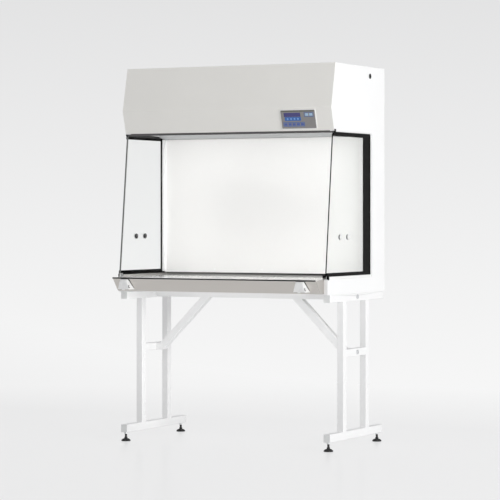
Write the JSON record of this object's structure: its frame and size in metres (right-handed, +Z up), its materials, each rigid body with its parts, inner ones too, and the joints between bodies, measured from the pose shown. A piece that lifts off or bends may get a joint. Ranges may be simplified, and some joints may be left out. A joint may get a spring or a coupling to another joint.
{
  "type": "laminar flow hood",
  "caption": "Horizontal laminar flow hood with glass sides, stainless worktop, control panel and power sockets, on a braced tube stand with levelling feet.",
  "frame": {"origin": "middle of the floor area, on the floor", "axes": "+X to the operator's right, +Y from the open front to the back, +Z up"},
  "size_m": [1.264, 0.828, 2.016],
  "materials": {
    "white_coat": "fine-texture powder coat",
    "grey_coat": "satin powder coat",
    "filter_pad": "matt fibre",
    "filter_paper": "matt pleated paper",
    "zinc": "zinc plated",
    "black_trim": "satin black",
    "glass": "clear toughened glass",
    "black_plastic": "moulded, fine grain",
    "pale_plastic": "moulded, satin",
    "stainless": "brushed along its length",
    "socket_white": "moulded, semi-gloss",
    "aluminium": "natural extrusion",
    "lamp_glass": "white coated tube",
    "lamp_plastic": "frosted",
    "panel_grey": "satin film",
    "display": "dark blue window",
    "key_blue": "satin",
    "black_rubber": "matt",
    "cap_grey": "moulded, fine grain"
  },
  "bodies": {
    "hood": {"right_side_panel": "white_coat", "left_side_panel": "white_coat", "fascia": "grey_coat", "top_cover": "white_coat", "intake_grille": "grey_coat", "prefilter": "filter_pad", "back_panel": "white_coat", "back_screws": "zinc", "base_pan": "white_coat", "right_window_frame": "black_trim", "left_window_frame": "black_trim", "right_side_glass": "glass", "left_side_glass": "glass", "port_plugs": "black_plastic", "port_caps": "pale_plastic", "glass_clips": "black_trim", "worktop": "stainless", "worktop_upstands": "stainless", "front_apron": "stainless", "left_socket_body": "socket_white", "right_socket_body": "socket_white", "left_socket_insert": "black_plastic", "right_socket_insert": "black_plastic", "diffuser_screen": "white_coat", "corner_strips": "white_coat", "filter_frame": "aluminium", "filter_pack": "filter_paper", "filter_clamps": "zinc", "chamber_ceiling": "white_coat", "lamp_reflector": "zinc", "lamp_tube": "lamp_glass", "lamp_holders": "pale_plastic", "lamp_cover": "lamp_plastic", "fan_deck": "zinc", "fan_scroll": "zinc", "fan_motor": "black_trim", "control_plate": "panel_grey", "display_window": "display", "control_box": "pale_plastic", "cable_grommet": "black_rubber", "right_side_frame": "white_coat", "left_side_frame": "white_coat", "cross_brace": "white_coat", "rail_end_caps": "cap_grey", "frame_bolts": "zinc", "foot_nuts": "zinc"},
    "fan_wheel": {"fan_impeller": "zinc"},
    "left_lid": {"left_socket_lid": "socket_white"},
    "right_lid": {"right_socket_lid": "socket_white"},
    "key_1_body": {"key_1": "key_blue"},
    "key_2_body": {"key_2": "key_blue"},
    "key_3_body": {"key_3": "key_blue"},
    "key_4_body": {"key_4": "key_blue"},
    "key_5_body": {"key_5": "key_blue"},
    "up_key_body": {"up_key": "key_blue"},
    "down_key_body": {"down_key": "key_blue"},
    "left_front_foot_body": {"left_front_foot": "black_rubber"},
    "left_rear_foot_body": {"left_rear_foot": "black_rubber"},
    "right_front_foot_body": {"right_front_foot": "black_rubber"},
    "right_rear_foot_body": {"right_rear_foot": "black_rubber"}
  },
  "joints": [
    {"name": "fan_spin", "type": "hinge", "parent": "hood", "child": "fan_wheel", "pos_m": [0, 0.026, 1.82], "axis": [1, 0, 0], "continuous": true},
    {"name": "left_lid_hinge", "type": "hinge", "parent": "hood", "child": "left_lid", "pos_m": [-0.532, -0.4113, 0.8763], "axis": [-1, 0, 0], "range_deg": [0, 100], "stiffness_Nm_per_rad": 0.03, "springref_deg": -22.92},
    {"name": "right_lid_hinge", "type": "hinge", "parent": "hood", "child": "right_lid", "pos_m": [0.514, -0.4113, 0.8763], "axis": [-1, 0, 0], "range_deg": [0, 100], "stiffness_Nm_per_rad": 0.03, "springref_deg": -22.92},
    {"name": "key_1_press", "type": "slide", "parent": "hood", "child": "key_1_body", "axis": [0, 0.9627, 0.2705], "range_m": [0, 0.0008], "stiffness_N_per_m": 1500, "springref_m": -0.0003},
    {"name": "key_2_press", "type": "slide", "parent": "hood", "child": "key_2_body", "axis": [0, 0.9627, 0.2705], "range_m": [0, 0.0008], "stiffness_N_per_m": 1500, "springref_m": -0.0003},
    {"name": "key_3_press", "type": "slide", "parent": "hood", "child": "key_3_body", "axis": [0, 0.9627, 0.2705], "range_m": [0, 0.0008], "stiffness_N_per_m": 1500, "springref_m": -0.0003},
    {"name": "key_4_press", "type": "slide", "parent": "hood", "child": "key_4_body", "axis": [0, 0.9627, 0.2705], "range_m": [0, 0.0008], "stiffness_N_per_m": 1500, "springref_m": -0.0003},
    {"name": "key_5_press", "type": "slide", "parent": "hood", "child": "key_5_body", "axis": [0, 0.9627, 0.2705], "range_m": [0, 0.0008], "stiffness_N_per_m": 1500, "springref_m": -0.0003},
    {"name": "up_key_press", "type": "slide", "parent": "hood", "child": "up_key_body", "axis": [0, 0.9627, 0.2705], "range_m": [0, 0.0008], "stiffness_N_per_m": 1500, "springref_m": -0.0003},
    {"name": "down_key_press", "type": "slide", "parent": "hood", "child": "down_key_body", "axis": [0, 0.9627, 0.2705], "range_m": [0, 0.0008], "stiffness_N_per_m": 1500, "springref_m": -0.0003},
    {"name": "left_front_foot_height", "type": "slide", "parent": "hood", "child": "left_front_foot_body", "axis": [0, 0, 1], "range_m": [-0.012, 0.008]},
    {"name": "left_rear_foot_height", "type": "slide", "parent": "hood", "child": "left_rear_foot_body", "axis": [0, 0, 1], "range_m": [-0.012, 0.008]},
    {"name": "right_front_foot_height", "type": "slide", "parent": "hood", "child": "right_front_foot_body", "axis": [0, 0, 1], "range_m": [-0.012, 0.008]},
    {"name": "right_rear_foot_height", "type": "slide", "parent": "hood", "child": "right_rear_foot_body", "axis": [0, 0, 1], "range_m": [-0.012, 0.008]}
  ]
}
